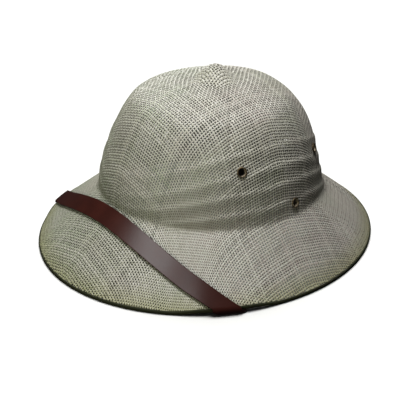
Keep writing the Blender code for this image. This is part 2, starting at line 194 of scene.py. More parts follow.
# The steps that close in on a crossing, in disc coordinates: their number, probe, damping and greatest length.
CROSSING_ROUNDS = 12
CROSSING_PROBE = 1e-3
CROSSING_DAMPING = 4e-4
CROSSING_STRIDE = 0.02
AXIS_SAMPLES = 20001


def smoothstep(x):
    """0 below 0, 1 above 1, and a smooth rise between."""
    x = np.clip(x, 0, 1)
    return x * x * (3 - 2 * x)


def through(xs, ys, x):
    """The height at x of a smooth curve through points."""
    xs, ys = np.asarray(xs), np.asarray(ys)
    slopes = np.diff(ys) / np.diff(xs)
    slopes = np.concatenate([slopes[:1], (slopes[:-1] + slopes[1:]) / 2, slopes[-1:]])
    k = np.clip(np.searchsorted(xs, x, side="right") - 1, 0, len(xs) - 2)
    step = xs[k + 1] - xs[k]
    t = np.clip((x - xs[k]) / step, 0, 1)
    start = ys[k] * (1 + 2 * t) + slopes[k] * step * t
    end = ys[k + 1] * (3 - 2 * t) - slopes[k + 1] * step * (1 - t)
    return start * (1 - t) ** 2 + end * t ** 2


def radius_share(azimuth, height):
    """The crown's radius share at a height share, blended from front to side to rear."""
    falls = np.sqrt(1 - np.array(CROWN_SECTION["height"]))
    fall = np.sqrt(np.maximum(0, 1 - height))
    front, side, rear = (through(falls, CROWN_SECTION[key], fall) for key in ("front", "side", "rear"))
    lengthwise = np.cos(azimuth) ** 2
    return lengthwise * np.where(np.cos(azimuth) > 0, front, rear) + (1 - lengthwise) * side


def crease_height(azimuth):
    """Height of the corner between crown and brim."""
    lengthwise = np.cos(azimuth)
    return CREASE_HEIGHT + np.where(lengthwise > 0, CREASE_FRONT_RISE, -CREASE_REAR_FALL) * lengthwise ** 2


def crown_place(azimuth, height):
    """A point of the crown without its knob, ridges or grooves."""
    share = radius_share(azimuth, height)
    set_back = CROWN_SET_BACK + (KNOB_SET_BACK - CROWN_SET_BACK) * (1 - share) ** 2
    x = CROWN_HALF_WIDTH * share * np.sin(azimuth)
    y = set_back - CROWN_HALF_LENGTH * share * np.cos(azimuth)
    base = CREASE_HEIGHT + (crease_height(azimuth) - CREASE_HEIGHT) * (1 - height) * share
    return np.stack([x, y, base + CROWN_RISE * height], -1)


def knob_rise(place):
    """How far the knob lifts the sheet there."""
    off = np.hypot(place[..., 0], place[..., 1] - KNOB_SET_BACK)
    return KNOB_HEIGHT * np.exp(-(off / KNOB_RADIUS) ** KNOB_SQUARENESS)


def knob_swell(place):
    """A soft swell in place of the knob. The weave is laid out over it, and stretched over the knob from there."""
    off = np.hypot(place[..., 0], place[..., 1] - KNOB_SET_BACK)
    return SWELL_HEIGHT * np.exp(-(off / SWELL_RADIUS) ** 2)


def rim_lift(azimuth):
    """How far the edge rises over the strap that is folded under it."""
    off = np.abs(np.abs(azimuth) - LIFT_AZIMUTH) - LIFT_FLAT
    return LIFT_HEIGHT * (1 - smoothstep(off / LIFT_RUN_OUT))


def brim_place(azimuth, share):
    """A point of the brim's outer side: share is 0 at the crease's corner and 1 at the edge."""
    across, along = np.sin(azimuth), -np.cos(azimuth)
    x = (CROWN_HALF_WIDTH * (1 - share) + BRIM_HALF_WIDTH * share) * across
    y = (CROWN_SET_BACK + CROWN_HALF_LENGTH * along) * (1 - share) + BRIM_HALF_LENGTH * along * share
    z = crease_height(azimuth) * (1 - share) + EDGE_HEIGHT * share + BRIM_BULGE * 4 * share * (1 - share)
    return np.stack([x, y, z + rim_lift(azimuth) * share ** 2], -1)


def sheet_place(azimuth, out):
    """A point of the plain blocked sheet at an azimuth and a way out from the top."""
    foot_height = CREASE_FILLET / CROWN_RISE
    crown = crown_place(azimuth, 1 - np.clip(out, 0, 1) ** 2 * (1 - foot_height))
    corner = brim_place(azimuth, np.zeros_like(out))
    start = CREASE_FILLET / np.linalg.norm(brim_place(azimuth, np.ones_like(out)) - corner, axis=-1)
    turn = np.clip((out - 1) / (FOOT_END - 1), 0, 1)[..., None]
    bottom = brim_place(azimuth, start)
    foot = (crown * (1 - turn) + corner * turn) * (1 - turn) + (corner * (1 - turn) + bottom * turn) * turn
    brim = brim_place(azimuth, start + (1 - start) * np.maximum(0, out - FOOT_END) / (BRIM_END - FOOT_END))
    out = out[..., None]
    return np.where(out <= 1, crown, np.where(out <= FOOT_END, foot, brim))


def ring_centre(name):
    """The middle of an eyelet, from its solid in the frame."""
    corners = np.array([vertex.co for vertex in frame["nodes"][f"eyelet_{name}"].data.vertices])
    return (corners.min(0) + corners.max(0)) / 2


EYELET_CENTRES = np.array([ring_centre(name) for name in EYELET_NAMES])


def relief(azimuth, out, place):
    """How far the ridges stand out, less the groove down the side."""
    height = 1 - np.clip(out, 0, 1) ** 2 * (1 - CREASE_FILLET / CROWN_RISE)
    lengthwise = np.cos(azimuth)
    power = np.where(lengthwise > 0, RIDGE_FRONT_POWER, RIDGE_REAR_POWER)
    droop = RIDGE_DROOP / CROWN_RISE * np.abs(lengthwise) ** power
    stand = np.zeros_like(height)
    for ridge in RIDGES:
        below = (ridge["crest"] - droop * ridge["droop"] - height) * CROWN_RISE
        reach = np.where(below > 0, RIDGE_RUN_OUT, RIDGE_STEP)
        stand = np.maximum(stand, RIDGE_RELIEF * (1 - smoothstep(np.abs(below) / reach)))
    stand *= 1 - RIDGE_FRONT_FADE * np.maximum(0, lengthwise) ** RIDGE_FADE_POWER
    nearest = np.min([np.linalg.norm(place - centre, axis=-1) for centre in EYELET_CENTRES], axis=0)
    stand *= smoothstep((nearest - EYELET_RADIUS) / EYELET_PAD)
    share = np.maximum(radius_share(azimuth, height), SEAM_LEAN_END)
    lean = SEAM_LEAN * (1 / share - 1) * np.sin(azimuth) ** 2
    off_seam = (np.abs(azimuth) - lean - SEAM_AZIMUTH) * np.hypot(place[..., 0], place[..., 1])
    along = smoothstep((height - SEAM_LOW) / SEAM_LOW_FADE) * smoothstep((SEAM_HIGH - height) / SEAM_HIGH_FADE)
    stand -= SEAM_DEPTH * along * np.exp(-(off_seam / SEAM_WIDTH) ** 2)
    return stand * (out < FOOT_END)


def sheet_normals(places):
    """The outward direction at each point of a grid of columns by rows that closes on itself."""
    around = np.empty_like(places)
    around[1:-1] = places[2:] - places[:-2]
    around[0] = around[-1] = places[1] - places[-2]
    down = np.gradient(places, axis=1)
    around[:, 0] = around[:, 1]
    normals = np.cross(down, around)
    normals /= np.linalg.norm(normals, axis=-1, keepdims=True)
    normals[:, 0] = (0, 0, 1)
    return normals


azimuths, outs = np.meshgrid(
    np.linspace(-np.pi, np.pi, SHEET_COLUMNS + 1), np.linspace(0, SHEET_END, SHEET_ROWS + 1), indexing="ij"
)
upwards = np.array([0, 0, 1])
plain_sheet = sheet_place(azimuths, outs)
swollen_sheet = plain_sheet + knob_swell(plain_sheet)[..., None] * upwards
pressed_sheet = plain_sheet + knob_rise(plain_sheet)[..., None] * upwards
plain_normals = sheet_normals(pressed_sheet)
sheet = pressed_sheet + plain_normals * relief(azimuths, outs, pressed_sheet)[..., None]
sheet_facing = sheet_normals(sheet)


def on_sheet(grid, spot):
    """A value of the sheet at disc coordinates, whose x points to the front and y to the wearer's left."""
    column = (np.arctan2(spot[..., 1], spot[..., 0]) + np.pi) / (2 * np.pi) * SHEET_COLUMNS
    row = np.clip(np.hypot(spot[..., 0], spot[..., 1]) / SHEET_END * SHEET_ROWS, 0, SHEET_ROWS - 1e-6)
    i = np.clip(column.astype(int), 0, SHEET_COLUMNS - 1)
    j = row.astype(int)
    s, t = (column - i)[..., None], (row - j)[..., None]
    near = grid[i, j] * (1 - s) + grid[i + 1, j] * s
    return near * (1 - t) + (grid[i, j + 1] * (1 - s) + grid[i + 1, j + 1] * s) * t


def axis_spots(heading):
    """Disc coordinates down one axis of the sheet, a thread pitch apart."""
    outs = np.linspace(0, SHEET_END, AXIS_SAMPLES)
    places = on_sheet(swollen_sheet, outs[:, None] * heading)
    found = [0]
    while True:
        away = np.linalg.norm(places[found[-1]:] - places[found[-1]], axis=1) >= THREAD_PITCH
        if not away.any():
            return outs[found][:, None] * heading
        found.append(found[-1] + int(np.argmax(away)))


def weave_quarter(lengthwise, crosswise):
    """Crossings of one quarter of the weave, as disc coordinates. Each is a pitch from the two crossings before it."""
    spots = np.full((len(crosswise), len(lengthwise), 2), np.nan)
    spots[:, 0] = crosswise
    spots[0, :] = lengthwise
    for diagonal in range(2, sum(spots.shape[:2]) - 1):
        i = np.arange(max(1, diagonal - spots.shape[1] + 1), min(spots.shape[0], diagonal))
        j = diagonal - i
        corner, first, second = spots[i - 1, j - 1], spots[i - 1, j], spots[i, j - 1]
        known = ~np.isnan(corner + first + second).any(-1)
        known &= np.minimum(np.hypot(*first.T), np.hypot(*second.T)) < SHEET_END - SHEET_MARGIN
        i, j, corner, first, second = i[known], j[known], corner[known], first[known], second[known]
        if not len(i):
            continue
        carried = np.stack([on_sheet(swollen_sheet, first), on_sheet(swollen_sheet, second)], 1)
        spot = first + second - corner
        for _ in range(CROSSING_ROUNDS):
            place = on_sheet(swollen_sheet, spot)
            slope = np.stack([(on_sheet(swollen_sheet, spot + way) - place) / CROSSING_PROBE
                              for way in ((CROSSING_PROBE, 0), (0, CROSSING_PROBE))], 1)
            span = place[:, None] - carried
            miss = (span ** 2).sum(-1) - THREAD_PITCH ** 2
            rates = 2 * np.einsum("npk,nqk->npq", span, slope)
            back = np.swapaxes(rates, 1, 2)
            square = back @ rates
            damping = CROSSING_DAMPING * np.trace(square, axis1=1, axis2=2)[:, None, None] * np.eye(2)
            step = np.linalg.solve(square + damping, back @ miss[..., None])[..., 0]
            length = np.linalg.norm(step, axis=1, keepdims=True)
            spot = spot - step * np.minimum(1, CROSSING_STRIDE / np.maximum(length, 1e-12))
        spots[i, j] = spot
    return spots


side_spots = axis_spots(np.array([0.0, 1.0]))
front_quarter = weave_quarter(axis_spots(np.array([1.0, 0.0])), side_spots)
rear_quarter = weave_quarter(axis_spots(np.array([-1.0, 0.0])), side_spots)
left_half = np.concatenate([rear_quarter[:, :0:-1], front_quarter], axis=1)
weave = np.concatenate([left_half[:0:-1] * (1, -1), left_half], axis=0)
# 1 where the lengthwise thread lies on top, -1 where the crosswise one does.
over = (np.indices(weave.shape[:2]).sum(0) % 2) * 2 - 1


def steps_along(places, axis):
    """The mean step from each crossing's neighbour before it to the one after it."""
    step = np.diff(places, axis=axis)
    edge = np.full_like(np.take(step, [0], axis), np.nan)
    both = np.stack([np.concatenate([edge, step], axis), np.concatenate([step, edge], axis)])
    count = np.maximum(1, (~np.isnan(both)).sum(0))
    return np.nansum(both, 0) / count


crossings = on_sheet(sheet, np.nan_to_num(weave))
crossings[np.isnan(weave).any(-1)] = np.nan
across_step, along_step = steps_along(crossings, 0), steps_along(crossings, 1)
cell = np.linalg.norm(np.cross(across_step, along_step), axis=-1)
spacing = {
    "lengthwise": cell / np.maximum(np.linalg.norm(along_step, axis=-1), 1e-6),
    "crosswise": cell / np.maximum(np.linalg.norm(across_step, axis=-1), 1e-6),
}


def thread_runs(spots, side, room, rng):
    """The stretches of one thread that lie on the hat, as rows of place, normal, half width and length along."""
    known = ~np.isnan(spots).any(-1)
    if known.sum() < 2:
        return []
    first, last = np.nonzero(known)[0][[0, -1]]
    spots, side, room = spots[first:last + 1], side[first:last + 1], room[first:last + 1]
    spots = np.nan_to_num(spots, nan=2 * SHEET_END)
    numbers = np.arange(len(spots))
    steps = np.concatenate([numbers, numbers[:-1] + 0.5])
    knobbed = numbers[:-1][np.hypot(*spots[:-1].T) < KNOB_REACH]
    steps = np.sort(np.concatenate([steps, *(knobbed + share for share in KNOB_STEPS)]))
    between = np.column_stack([np.interp(steps, numbers, spots[:, axis]) for axis in (0, 1)])
    places = on_sheet(sheet, between)
    normals = on_sheet(sheet_facing, between)
    wave = side[0] * THREAD_WAVE * np.cos(np.pi * steps)
    places = places + normals * (wave - THREAD_DEPTH)[:, None]
    room = np.interp(steps, numbers, room)
    uneven = 1 + THREAD_UNEVENNESS * (rng.normal() + np.interp(steps, numbers, rng.normal(size=len(numbers))) / 2)
    flattened = np.maximum(1, room / THREAD_PITCH) ** THREAD_FLATTENING
    widths = np.minimum(room / 2 * THREAD_CROWDING, THREAD_WIDTH / 2 * uneven * flattened)
    along = THREAD_PITCH * steps + rng.uniform(0, FIBRE_SUPPLY)
    rows = np.column_stack([places, normals, widths, along])
    ring = np.min([np.linalg.norm(places - centre, axis=-1) for centre in EYELET_CENTRES], axis=0)
    inside = np.minimum(BRIM_END - np.hypot(*between.T), ring / EYELET_CUT - 1)
    runs, run = [], []
    for k in range(len(rows)):
        if inside[k] > 0:
            if not run and k > 0:
                run.append(cut(rows, inside, k - 1))
            run.append(rows[k])
        elif run:
            run.append(cut(rows, inside, k - 1))
            runs.append(np.array(run))
            run = []
    if run:
        runs.append(np.array(run))
    return [run for run in runs if len(run) > 2]


def cut(rows, inside, k):
    """The row between k and the next one where the thread is cut off."""
    share = inside[k] / (inside[k] - inside[k + 1])
    return rows[k] * (1 - share) + rows[k + 1] * share


def thread_tube(run):
    """The rings of points round one stretch of thread, and the same points in the thread's own coordinates."""
    places, normals, widths, along = run[:, :3], run[:, 3:6], run[:, 6], run[:, 7]
    heading = np.gradient(places, axis=0)
    heading /= np.linalg.norm(heading, axis=1, keepdims=True)
    sideways = np.cross(normals, heading)
    sideways /= np.linalg.norm(sideways, axis=1, keepdims=True)
    up = np.cross(heading, sideways)
    off_side = widths[:, None] * THREAD_SECTION[:, 0]
    off_up = THREAD_THICKNESS / 2 * THREAD_SECTION[:, 1] * np.ones_like(off_side)
    rings = places[:, None] + sideways[:, None] * off_side[..., None] + up[:, None] * off_up[..., None]
    edge = np.minimum(1, THREAD_WIDTH / 2 / widths) * THREAD_WIDTH / 2
    local = np.stack(np.broadcast_arrays(along[:, None], edge[:, None] * THREAD_SECTION[:, 0], off_up), -1)
    return rings, local


def tube_faces(ring_count, start):
    """The quads round a tube whose rings start at a vertex number, with its two ends closed."""
    sides = len(THREAD_SECTION)
    lower = start + np.arange(ring_count - 1)[:, None] * sides
    a = np.arange(sides)
    b = (a + 1) % sides
    walls = np.stack([lower + a, lower + b, lower + sides + b, lower + sides + a], -1).reshape(-1, 4)
    last = start + (ring_count - 1) * sides
    ends = [[start + 3, start + 2, start + 1, start], [last, last + 1, last + 2, last + 3]]
    return np.concatenate([walls, ends])


def mesh_object(name, vertices, faces, material):
    """An object with a smooth-shaded mesh of quads."""
    mesh = bpy.data.meshes.new(name)
    mesh.vertices.add(len(vertices))
    mesh.vertices.foreach_set("co", np.asarray(vertices, np.float32).ravel())
    mesh.loops.add(faces.size)
    mesh.loops.foreach_set("vertex_index", faces.astype(np.int32).ravel())
    mesh.polygons.add(len(faces))
    mesh.polygons.foreach_set("loop_start", np.arange(0, faces.size, 4, dtype=np.int32))
    mesh.update(calc_edges=True)
    mesh.shade_smooth()
    mesh.materials.append(material)
    obj = bpy.data.objects.new(name, mesh)
    scene.collection.objects.link(obj)
    return obj


def colour(hex_code):
    """An sRGB hex colour as linear RGBA."""
    parts = [int(hex_code[k:k + 2], 16) / 255 for k in (1, 3, 5)]
    return (*(c / 12.92 if c <= 0.04045 else ((c + 0.055) / 1.055) ** 2.4 for c in parts), 1.0)


def add_node(tree, kind, inputs=(), **settings):
    """Adds a node with its settings. Each input is a value, or a socket to link."""
    node = tree.nodes.new(kind)
    for key, value in settings.items():
        setattr(node, key, value)
    for key, value in dict(inputs).items():
        if isinstance(value, bpy.types.NodeSocket):
            tree.links.new(value, node.inputs[key])
        else:
            node.inputs[key].default_value = value
    return node


def new_material(name):
    """A new material, with its node tree and its shader."""
    material = bpy.data.materials.new(name)
    material.use_nodes = True
    tree = material.node_tree
    return material, tree, tree.nodes["Principled BSDF"]


# Sized paper straw: twisted strips, dull with a faint gloss from the size. Some threads are paler than others, on a
# ground that goes from green to pink across the hat. Towards the brim's edge it is painted darker and olive: painted
# shade for the light falling off there. Fibres run along a thread, about 0.3 mm wide. Each thread's flanks and inner
# side are painted nearly black and lose the gloss: painted shade for the gaps between threads and the inside of the
# hat.
FIBRE_WIDTH = 0.3 * MM
FIBRE_LENGTH = 9.0 * MM
FIBRE_RELIEF = 0.1 * MM
FIBRE_SHADES = (0.72, 1.18)
STAIN_SIZE = 55.0 * MM
STAIN_LIMITS = (0.3, 0.7)
FADING_REACH = 200.0 * MM
FADING_SHARE = 0.25
PALENESS = (0.25, 0.95)
STRAW_PALE = colour("#bbb9a9")
STRAW_GREEN = colour("#9ba386")
STRAW_PINK = colour("#aaa093")
# Painted shade: the straw darkens to this olive towards the brim's edge.
STRAW_SHADED_OLIVE = colour("#94945c")
EDGE_SHADE_HEIGHTS = (16.0 * MM, 4.0 * MM)
EDGE_SHADE_SHARE = 0.55
# Painted shade: near black on the inner side and the flanks of each thread.
INNER_SHADE_HEIGHTS = (-0.25 * MM, 0.1 * MM)
PAINTED_INNER_SHADE = 0.03
FLANK_SHADE_PLACES = (0.45 * MM, 0.7 * MM)
PAINTED_FLANK_SHADE = 0.05
SIZE_GLOSS = 0.6
straw, tree, shader = new_material("sized_paper_straw")
local = add_node(tree, "ShaderNodeAttribute", attribute_name="strand")
stretch = add_node(tree, "ShaderNodeMapping", {
    "Vector": local.outputs["Vector"], "Scale": (1 / FIBRE_LENGTH, 1 / FIBRE_WIDTH, 1 / FIBRE_WIDTH)})
fibres = add_node(tree, "ShaderNodeTexNoise", {"Vector": stretch.outputs["Vector"], "Scale": 1.0, "Detail": 2.0})
tone = add_node(tree, "ShaderNodeAttribute", attribute_name="tone")
spot = add_node(tree, "ShaderNodeTexCoord")
stains = add_node(tree, "ShaderNodeTexNoise", {
    "Vector": spot.outputs["Object"], "Scale": 1 / STAIN_SIZE, "Detail": 3.0})
place = add_node(tree, "ShaderNodeSeparateXYZ", {"Vector": spot.outputs["Object"]})
slantwise = add_node(tree, "ShaderNodeMath", {0: place.outputs["X"], 1: place.outputs["Y"]})
fading = add_node(tree, "ShaderNodeMapRange", {
    "Value": slantwise.outputs["Value"], "From Min": -FADING_REACH, "From Max": FADING_REACH,
    "To Min": -FADING_SHARE, "To Max": FADING_SHARE})
uneven = add_node(tree, "ShaderNodeMath", {0: stains.outputs["Fac"], 1: fading.outputs["Result"]})
stain = add_node(tree, "ShaderNodeMapRange", {
    "Value": uneven.outputs["Value"], "From Min": STAIN_LIMITS[0], "From Max": STAIN_LIMITS[1]})
tint = add_node(tree, "ShaderNodeMix", {
    "Factor": stain.outputs["Result"], "A": STRAW_GREEN, "B": STRAW_PINK}, data_type="RGBA")
paleness = add_node(tree, "ShaderNodeMapRange", {
    "Value": tone.outputs["Fac"], "To Min": PALENESS[0], "To Max": PALENESS[1]})
thread_tone = add_node(tree, "ShaderNodeMix", {
    "Factor": paleness.outputs["Result"], "A": tint.outputs["Result"], "B": STRAW_PALE}, data_type="RGBA")
# Painted shade: darker and olive over the lowest part of the brim, towards its edge.
edge_shade = add_node(tree, "ShaderNodeMapRange", {
    "Value": place.outputs["Z"], "From Min": EDGE_SHADE_HEIGHTS[0], "From Max": EDGE_SHADE_HEIGHTS[1], "To Max": EDGE_SHADE_SHARE})
edge_shaded = add_node(tree, "ShaderNodeMix", {
    "Factor": edge_shade.outputs["Result"], "A": thread_tone.outputs["Result"], "B": STRAW_SHADED_OLIVE}, data_type="RGBA")
shaded = add_node(tree, "ShaderNodeMapRange", {
    "Value": fibres.outputs["Fac"], "To Min": FIBRE_SHADES[0], "To Max": FIBRE_SHADES[1]})
body = add_node(tree, "ShaderNodeMix", {
    "Factor": 1.0, "A": edge_shaded.outputs["Result"], "B": shaded.outputs["Result"]}, data_type="RGBA",
    blend_type="MULTIPLY")
side = add_node(tree, "ShaderNodeSeparateXYZ", {"Vector": local.outputs["Vector"]})
# Painted shade: each thread's inner side and flanks are darkened nearly to black, and the size's gloss goes with them.
outer = add_node(tree, "ShaderNodeMapRange", {
    "Value": side.outputs["Z"], "From Min": INNER_SHADE_HEIGHTS[0], "From Max": INNER_SHADE_HEIGHTS[1],
    "To Min": PAINTED_INNER_SHADE})
off_middle = add_node(tree, "ShaderNodeMath", {0: side.outputs["Y"]}, operation="ABSOLUTE")
rounding = add_node(tree, "ShaderNodeMapRange", {
    "Value": off_middle.outputs["Value"], "From Min": FLANK_SHADE_PLACES[0], "From Max": FLANK_SHADE_PLACES[1],
    "To Min": 1.0, "To Max": PAINTED_FLANK_SHADE})
painted_gap_shade = add_node(tree, "ShaderNodeMath", {
    0: outer.outputs["Result"], 1: rounding.outputs["Result"]}, operation="MULTIPLY")
body = add_node(tree, "ShaderNodeMix", {
    "Factor": 1.0, "A": body.outputs["Result"], "B": painted_gap_shade.outputs["Value"]}, data_type="RGBA",
    blend_type="MULTIPLY")
tree.links.new(body.outputs["Result"], shader.inputs["Base Color"])
bump = add_node(tree, "ShaderNodeBump", {
    "Height": fibres.outputs["Fac"], "Strength": 0.35, "Distance": FIBRE_RELIEF})
tree.links.new(bump.outputs["Normal"], shader.inputs["Normal"])
sized = add_node(tree, "ShaderNodeMapRange", {"Value": painted_gap_shade.outputs["Value"], "To Max": SIZE_GLOSS})
tree.links.new(sized.outputs["Result"], shader.inputs["Specular IOR Level"])
shader.inputs["Roughness"].default_value = 0.42

rng = np.random.default_rng(THREAD_SEED)


def weave_threads(family):
    """All threads of one family: each thread's stretches and its tone."""
    lengthwise = family == "lengthwise"
    count = weave.shape[0] if lengthwise else weave.shape[1]
    threads = []
    for k in range(count):
        spots, side, room = (
            (weave[k], over[k], spacing[family][k]) if lengthwise
            else (weave[:, k], -over[:, k], spacing[family][:, k])
        )
        threads.append((thread_runs(spots, side, room, rng), rng.uniform()))
    return threads


def weave_piece(name, threads):
    """One piece of the shell: a group of neighbouring threads as closed tubes."""
    places, strands, tones, faces, start = [], [], [], [], 0
    for runs, thread_tone in threads:
        for run in runs:
            rings, local = thread_tube(run)
            places.append(rings.reshape(-1, 3))
            strands.append(local.reshape(-1, 3))
            tones.append(np.full(rings.shape[0] * rings.shape[1], thread_tone))
            faces.append(tube_faces(len(rings), start))
            start += len(tones[-1])
    obj = mesh_object(name, np.concatenate(places), np.concatenate(faces), straw)
    strand = obj.data.attributes.new("strand", "FLOAT_VECTOR", "POINT")
    strand.data.foreach_set("vector", np.concatenate(strands).astype(np.float32).ravel())
    thread_tones = obj.data.attributes.new("tone", "FLOAT", "POINT")
    thread_tones.data.foreach_set("value", np.concatenate(tones).astype(np.float32))
    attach(obj, "root")
    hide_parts("straw_shell")


WEAVE_PIECES = {
    "lengthwise": ("threads_lengthwise_right", "threads_lengthwise_middle", "threads_lengthwise_left"),
    "crosswise": ("threads_crosswise_rear", "threads_crosswise_middle", "threads_crosswise_front"),
}
for family, names in WEAVE_PIECES.items():
    threads = weave_threads(family)
    sizes = np.cumsum([sum(len(run) for run in runs) for runs, _ in threads])
    groups = np.minimum(sizes * len(names) // (sizes[-1] + 1), len(names) - 1)
    for k, name in enumerate(names):
        weave_piece(name, [thread for thread, group in zip(threads, groups) if group == k])


# Brim binding
# A narrow dark cotton tape, folded over the cut edge of the brim and glued there, with no stitch in sight. It turns in
# under the edge, and the hat stands on it.
BINDING_THICKNESS = 0.8 * MM
BINDING_FOOT = 3.0 * MM
BINDING_SHOULDER = 0.5 * MM
BINDING_GAP = 0.3 * MM
BINDING_COLUMNS = 480
CORNER_CUT = 0.18
# How far round and how far up the brim the edge's own directions are measured.
EDGE_TURN = 0.01
EDGE_RUN = 0.08


def edge_frame(azimuth):
    """The brim's edge: its point, the direction down the brim, the outward normal, and straight outwards."""
    one = np.ones_like(azimuth)
    point = brim_place(azimuth, one)
    around = brim_place(azimuth + EDGE_TURN, one) - brim_place(azimuth - EDGE_TURN, one)
    around /= np.linalg.norm(around, axis=-1, keepdims=True)
    down = point - brim_place(azimuth, one - EDGE_RUN)
    down -= around * (down * around).sum(-1, keepdims=True)
    down /= np.linalg.norm(down, axis=-1, keepdims=True)
    normal = np.cross(around, down)
    normal *= np.sign(normal[..., 2:])
    outward = down * (1, 1, 0)
    outward /= np.linalg.norm(outward, axis=-1, keepdims=True)
    return point, down, normal, outward


def binding_section(azimuth):
    """The binding's corners: its top against the shell's cut edge, and its foot on the floor."""
    point, down, normal, outward = edge_frame(azimuth)
    upper = point + down * BINDING_GAP
    lower = point - normal * WALL + down * BINDING_GAP
    shoulder = upper + outward * BINDING_THICKNESS - np.array([0, 0, BINDING_SHOULDER])
    outer = shoulder.copy()
    outer[..., 2] = rim_lift(azimuth)
    inner = outer - outward * BINDING_FOOT
    return np.stack([upper, shoulder, outer, inner, lower], -2)


def round_off(corners):
    """Cuts the corners of closed outlines, twice over for a softer turn."""
    for _ in range(2):
        step = (np.roll(corners, -1, axis=-2) - corners) * CORNER_CUT
        cut_corners = np.stack([corners + step, np.roll(corners, -1, axis=-2) - step], -2)
        corners = cut_corners.reshape(*corners.shape[:-2], -1, 3)
    return corners


def ring_object(name, sections, material):
    """A closed ring through sections that are closed outlines themselves."""
    columns, points = sections.shape[:2]
    a = np.arange(columns)[:, None] * points
    b = np.roll(a, -1, axis=0)
    k = np.arange(points)
    m = (k + 1) % points
    faces = np.stack([a + k, a + m, b + m, b + k], -1).reshape(-1, 4)
    return mesh_object(name, sections.reshape(-1, 3), faces, material)


# Cotton tape, woven and dyed a near-black olive: matt, and mottled paler where its ribs, about 1 mm apart, are worn.
TAPE_RIB = 1.0 * MM
TAPE_RELIEF = 0.2 * MM
TAPE_DARK = colour("#1a1c0e")
TAPE_WORN = colour("#32351d")
tape, tree, shader = new_material("cotton_tape")
spot = add_node(tree, "ShaderNodeTexCoord")
ribs = add_node(tree, "ShaderNodeTexNoise", {"Vector": spot.outputs["Object"], "Scale": 1 / TAPE_RIB, "Detail": 2.0})
tape_colour = add_node(tree, "ShaderNodeMix", {
    "Factor": ribs.outputs["Fac"], "A": TAPE_DARK, "B": TAPE_WORN}, data_type="RGBA")
tree.links.new(tape_colour.outputs["Result"], shader.inputs["Base Color"])
bump = add_node(tree, "ShaderNodeBump", {"Height": ribs.outputs["Fac"], "Strength": 0.5, "Distance": TAPE_RELIEF})
tree.links.new(bump.outputs["Normal"], shader.inputs["Normal"])
shader.inputs["Roughness"].default_value = 0.8
shader.inputs["Specular IOR Level"].default_value = 0.25

columns = np.linspace(-np.pi, np.pi, BINDING_COLUMNS, endpoint=False)
binding = ring_object("edge_tape", round_off(binding_section(columns)), tape)
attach(binding, "root")
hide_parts("brim_binding")


# Chin strap
# One loop of dyed leather with dark painted edges. It lies over the front of the brim against the crown, is folded
# under the brim on both sides, and its hidden stretch runs round the rear of the head opening.
STRAP_WIDTH = 16.5 * MM
STRAP_THICKNESS = 2.0 * MM
STRAP_STAND_OFF = 0.9 * MM
STRAP_AZIMUTH = math.radians(59.5)
STRAP_SWEEP = 2.3
STRAP_TILT = math.radians(33.0)
STRAP_SLANT = math.radians(2.6)
STRAP_GAP = 0.4 * MM
STRAP_EDGE_ROUND = 0.45 * MM
STRAP_LINES = (-1.0, -0.9, -0.5, 0.0, 0.5, 0.9, 1.0)
STRAP_TOP_STEPS = 60
STRAP_RETURN_STEPS = 70
STRAP_TOP_INSET = 1.75 * MM
STRAP_RETURN_INSET = 4.65 * MM
# The places along each run between which it passes the brim's edge, and how often they are halved to find it.
OVER_EDGE = (0.6, 1.3)
UNDER_EDGE = (0.0, 0.4)
HALVINGS = 40
# How far down the binding's outer side the fold is widest.
FOLD_DROP = 0.45
# The hidden stretch under the brim: azimuth in degrees, and share of the way from the crown out to the brim's edge.
STRAP_RETURN = {
    "azimuth": [50.0, 62.0, 75.0, 90.0, 105.0, 120.0, 140.0, 180.0],
    "out": [1.33, 1.00, 0.66, 0.49, 0.39, 0.34, 0.32, 0.32],
}
STRAP_HALF_PLAN = STRAP_WIDTH / 2 * math.cos(STRAP_TILT)
HAIR = 0.001 * MM


def brim_plan(azimuth, share):
    """The plan position on the brim."""
    return Vector(brim_place(np.array(azimuth), np.array(share))[:2])


def plan_offset(run, place, side):
    """A point beside a plan run: side is -1, 0 or +1 half widths to the right of the way it goes."""
    step = 1e-4
    ahead = run(place + step) - run(place - step)
    return run(place) + Vector((ahead.y, -ahead.x)).normalized() * side * STRAP_HALF_PLAN


def over_run(place):
    """The middle of the strap over the brim, in plan: 0 at the front, 1 at the edge."""
    start = CROWN_SET_BACK - CROWN_HALF_LENGTH - STRAP_STAND_OFF - STRAP_HALF_PLAN
    end = brim_plan(STRAP_AZIMUTH, 1.0)
    return Vector((end.x * place, start + (end.y - start) * abs(place) ** STRAP_SWEEP))


def under_run(place):
    """The middle of the strap under the brim, in plan: 0 before the edge, 1 at the rear."""
    first, last = STRAP_RETURN["azimuth"][0], STRAP_RETURN["azimuth"][-1]
    azimuth = first + (last - first) * place
    out = through(STRAP_RETURN["azimuth"], STRAP_RETURN["out"], min(azimuth, 2 * last - azimuth))
    return brim_plan(math.radians(azimuth), float(out))


def crossing(run, side, places, inset):
    """Where the edge of a run, between two places, passes the brim's edge less an inset."""
    near, far = places

    def outside(place):
        x, y = plan_offset(run, place, side)
        return math.hypot(x / (BRIM_HALF_WIDTH - inset), y / (BRIM_HALF_LENGTH - inset)) - 1

    for _ in range(HALVINGS):
        middle = (near + far) / 2
        if outside(near) * outside(middle) <= 0:
            far = middle
        else:
            near = middle
    return near


def fold_points(azimuth):
    """The strap's inner side round the binding at one azimuth, from the top of the brim to under it."""
    point, _, normal, outward = (Vector(v) for v in edge_frame(np.array(azimuth)))
    _, shoulder, outer, _, _ = (Vector(v) for v in binding_section(np.array(azimuth + STRAP_SLANT / 3)))
    _, _, low_outer, low_inner, _ = (Vector(v) for v in binding_section(np.array(azimuth + STRAP_SLANT)))
    up = Vector((0, 0, 1))
    return [
        point + normal * STRAP_GAP,
        shoulder + (outward + up).normalized() * STRAP_GAP,
        shoulder.lerp(outer, FOLD_DROP) + outward * STRAP_GAP,
        low_outer + (outward - up).normalized() * STRAP_GAP,
        low_inner - up * STRAP_GAP,
    ]


